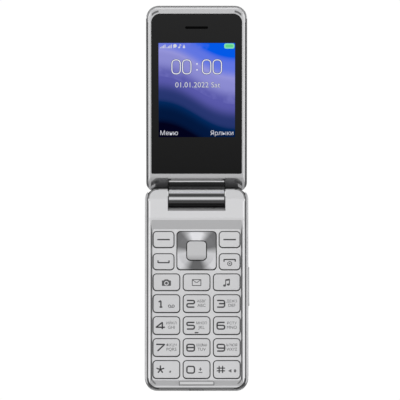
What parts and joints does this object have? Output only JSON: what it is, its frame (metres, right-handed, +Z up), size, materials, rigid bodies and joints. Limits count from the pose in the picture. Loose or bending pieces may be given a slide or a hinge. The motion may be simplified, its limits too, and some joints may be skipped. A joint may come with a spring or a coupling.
{
  "type": "flip phone",
  "caption": "Clamshell mobile phone, open: silver keypad half on its back, lid with a large black display window, dark chrome hinge barrel between two shoulders.",
  "frame": {"origin": "centre of the keypad half's flat back", "axes": "+X to the right of the keys, +Y from the keypad half towards the lid, +Z up out of the keys"},
  "size_m": [0.0521, 0.19, 0.037],
  "materials": {
    "silver_casing": "fine metallic silver paint",
    "silver_shell": "satin metallic silver paint",
    "lid_silver": "satin metallic silver paint",
    "key_silver": "fine metallic silver paint",
    "nav_silver": "radially brushed",
    "dark_chrome": "dark polished",
    "window_black": "polished",
    "display_glass": "polished",
    "circuit_board": "solder resist",
    "steel": "plain",
    "contact_gold": "plain",
    "battery_can": "wrapped, matte",
    "clear_film": "film",
    "grey_rubber": "matte",
    "pale_rubber": "matte",
    "black_plastic": "matte",
    "dark_mesh": "fine mesh",
    "flex_amber": "film"
  },
  "bodies": {
    "base": {"base_front_case": "silver_casing", "base_rear_case": "silver_shell", "battery_cover": "silver_shell", "battery": "battery_can", "battery_contacts": "contact_gold", "sim_holder": "steel", "main_board": "circuit_board", "shield_can": "steel", "dome_sheet": "clear_film", "keypad_mat": "grey_rubber", "loudspeaker": "black_plastic", "microphone": "steel", "vibration_motor": "steel", "usb_connector": "steel", "audio_jack": "black_plastic", "side_switches": "black_plastic", "strap_post": "steel", "lid_stop_pad": "pale_rubber", "base_screws": "steel", "hinge_pin": "steel", "hinge_shaft": "steel"},
    "lid": {"lid_inner_case": "lid_silver", "lid_outer_case": "silver_shell", "display_window": "window_black", "display_module": "display_glass", "lid_board": "circuit_board", "earpiece": "black_plastic", "earpiece_mesh": "dark_mesh", "lid_magnet": "steel", "camera_module": "black_plastic", "camera_window": "window_black", "hinge_barrel": "dark_chrome", "hinge_cartridge": "steel", "hinge_flex": "flex_amber"},
    "key_soft_left": {"key_soft_left": "key_silver"},
    "key_soft_right": {"key_soft_right": "key_silver"},
    "key_call": {"key_call": "key_silver"},
    "key_end": {"key_end": "key_silver"},
    "key_camera": {"key_camera": "key_silver"},
    "key_message": {"key_message": "key_silver"},
    "key_music": {"key_music": "key_silver"},
    "key_1": {"key_1": "key_silver"},
    "key_2": {"key_2": "key_silver"},
    "key_3": {"key_3": "key_silver"},
    "key_4": {"key_4": "key_silver"},
    "key_5": {"key_5": "key_silver"},
    "key_6": {"key_6": "key_silver"},
    "key_7": {"key_7": "key_silver"},
    "key_8": {"key_8": "key_silver"},
    "key_9": {"key_9": "key_silver"},
    "key_star": {"key_star": "key_silver"},
    "key_0": {"key_0": "key_silver"},
    "key_hash": {"key_hash": "key_silver"},
    "centre_key": {"centre_key": "nav_silver"},
    "nav_carrier": {"nav_carrier": "black_plastic"},
    "nav_ring": {"nav_ring": "nav_silver"},
    "volume_rocker": {"volume_rocker": "silver_shell"}
  },
  "joints": [
    {"name": "lid_hinge", "type": "hinge", "parent": "base", "child": "lid", "pos_m": [0, 0.04605, 0.0074], "axis": [1, 0, 0], "range_deg": [0, 160]},
    {"name": "key_soft_left_press", "type": "slide", "parent": "base", "child": "key_soft_left", "axis": [0, 0, -1], "range_m": [0, 0.0003], "stiffness_N_per_m": 4000},
    {"name": "key_soft_right_press", "type": "slide", "parent": "base", "child": "key_soft_right", "axis": [0, 0, -1], "range_m": [0, 0.0003], "stiffness_N_per_m": 4000},
    {"name": "key_call_press", "type": "slide", "parent": "base", "child": "key_call", "axis": [0, 0, -1], "range_m": [0, 0.0003], "stiffness_N_per_m": 4000},
    {"name": "key_end_press", "type": "slide", "parent": "base", "child": "key_end", "axis": [0, 0, -1], "range_m": [0, 0.0003], "stiffness_N_per_m": 4000},
    {"name": "key_camera_press", "type": "slide", "parent": "base", "child": "key_camera", "axis": [0, 0, -1], "range_m": [0, 0.0003], "stiffness_N_per_m": 4000},
    {"name": "key_message_press", "type": "slide", "parent": "base", "child": "key_message", "axis": [0, 0, -1], "range_m": [0, 0.0003], "stiffness_N_per_m": 4000},
    {"name": "key_music_press", "type": "slide", "parent": "base", "child": "key_music", "axis": [0, 0, -1], "range_m": [0, 0.0003], "stiffness_N_per_m": 4000},
    {"name": "key_1_press", "type": "slide", "parent": "base", "child": "key_1", "axis": [0, 0, -1], "range_m": [0, 0.0003], "stiffness_N_per_m": 4000},
    {"name": "key_2_press", "type": "slide", "parent": "base", "child": "key_2", "axis": [0, 0, -1], "range_m": [0, 0.0003], "stiffness_N_per_m": 4000},
    {"name": "key_3_press", "type": "slide", "parent": "base", "child": "key_3", "axis": [0, 0, -1], "range_m": [0, 0.0003], "stiffness_N_per_m": 4000},
    {"name": "key_4_press", "type": "slide", "parent": "base", "child": "key_4", "axis": [0, 0, -1], "range_m": [0, 0.0003], "stiffness_N_per_m": 4000},
    {"name": "key_5_press", "type": "slide", "parent": "base", "child": "key_5", "axis": [0, 0, -1], "range_m": [0, 0.0003], "stiffness_N_per_m": 4000},
    {"name": "key_6_press", "type": "slide", "parent": "base", "child": "key_6", "axis": [0, 0, -1], "range_m": [0, 0.0003], "stiffness_N_per_m": 4000},
    {"name": "key_7_press", "type": "slide", "parent": "base", "child": "key_7", "axis": [0, 0, -1], "range_m": [0, 0.0003], "stiffness_N_per_m": 4000},
    {"name": "key_8_press", "type": "slide", "parent": "base", "child": "key_8", "axis": [0, 0, -1], "range_m": [0, 0.0003], "stiffness_N_per_m": 4000},
    {"name": "key_9_press", "type": "slide", "parent": "base", "child": "key_9", "axis": [0, 0, -1], "range_m": [0, 0.0003], "stiffness_N_per_m": 4000},
    {"name": "key_star_press", "type": "slide", "parent": "base", "child": "key_star", "axis": [0, 0, -1], "range_m": [0, 0.0003], "stiffness_N_per_m": 4000},
    {"name": "key_0_press", "type": "slide", "parent": "base", "child": "key_0", "axis": [0, 0, -1], "range_m": [0, 0.0003], "stiffness_N_per_m": 4000},
    {"name": "key_hash_press", "type": "slide", "parent": "base", "child": "key_hash", "axis": [0, 0, -1], "range_m": [0, 0.0003], "stiffness_N_per_m": 4000},
    {"name": "centre_key_press", "type": "slide", "parent": "base", "child": "centre_key", "axis": [0, 0, -1], "range_m": [0, 0.0003], "stiffness_N_per_m": 4000},
    {"name": "nav_rock_sideways", "type": "hinge", "parent": "base", "child": "nav_carrier", "pos_m": [0, 0.01933, 0.00762], "axis": [0, 1, 0], "range_deg": [-1.2, 1.2], "stiffness_Nm_per_rad": 0.55},
    {"name": "nav_rock_lengthways", "type": "hinge", "parent": "nav_carrier", "child": "nav_ring", "pos_m": [0, 0.01933, 0.00762], "axis": [1, 0, 0], "range_deg": [-1.2, 1.2], "stiffness_Nm_per_rad": 0.55},
    {"name": "volume_rock", "type": "hinge", "parent": "base", "child": "volume_rocker", "pos_m": [0.025, 0.002, 0.0047], "axis": [0, 0, 1], "range_deg": [-1.5, 1.5], "stiffness_Nm_per_rad": 0.46}
  ]
}
